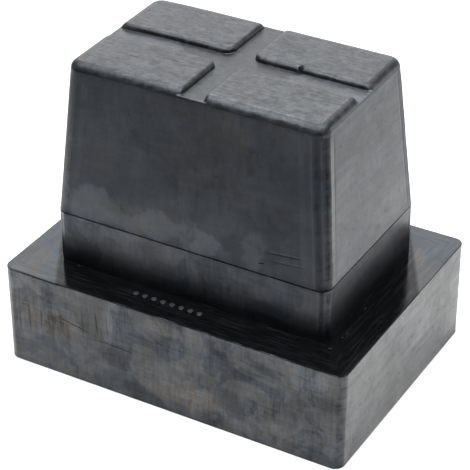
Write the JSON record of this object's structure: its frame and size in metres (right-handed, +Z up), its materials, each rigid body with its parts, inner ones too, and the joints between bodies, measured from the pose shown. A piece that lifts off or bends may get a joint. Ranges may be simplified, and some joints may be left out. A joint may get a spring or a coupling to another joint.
{
  "type": "rubber support block",
  "caption": "Solid moulded rubber block: a rectangular base, a narrower upright band and a tapered upper part with cross grooves between raised pads.",
  "frame": {"origin": "middle of the underside of the base, on the surface that the block stands on", "axes": "+X along the long side of the base, +Y along its short side away from the row of pips, +Z up towards the pads"},
  "size_m": [0.16, 0.113, 0.1385],
  "materials": {
    "rubber": "smooth moulded black rubber with a slight sheen and a faint bloom"
  },
  "bodies": {
    "root": {"rubber_block": "rubber"}
  },
  "joints": []
}
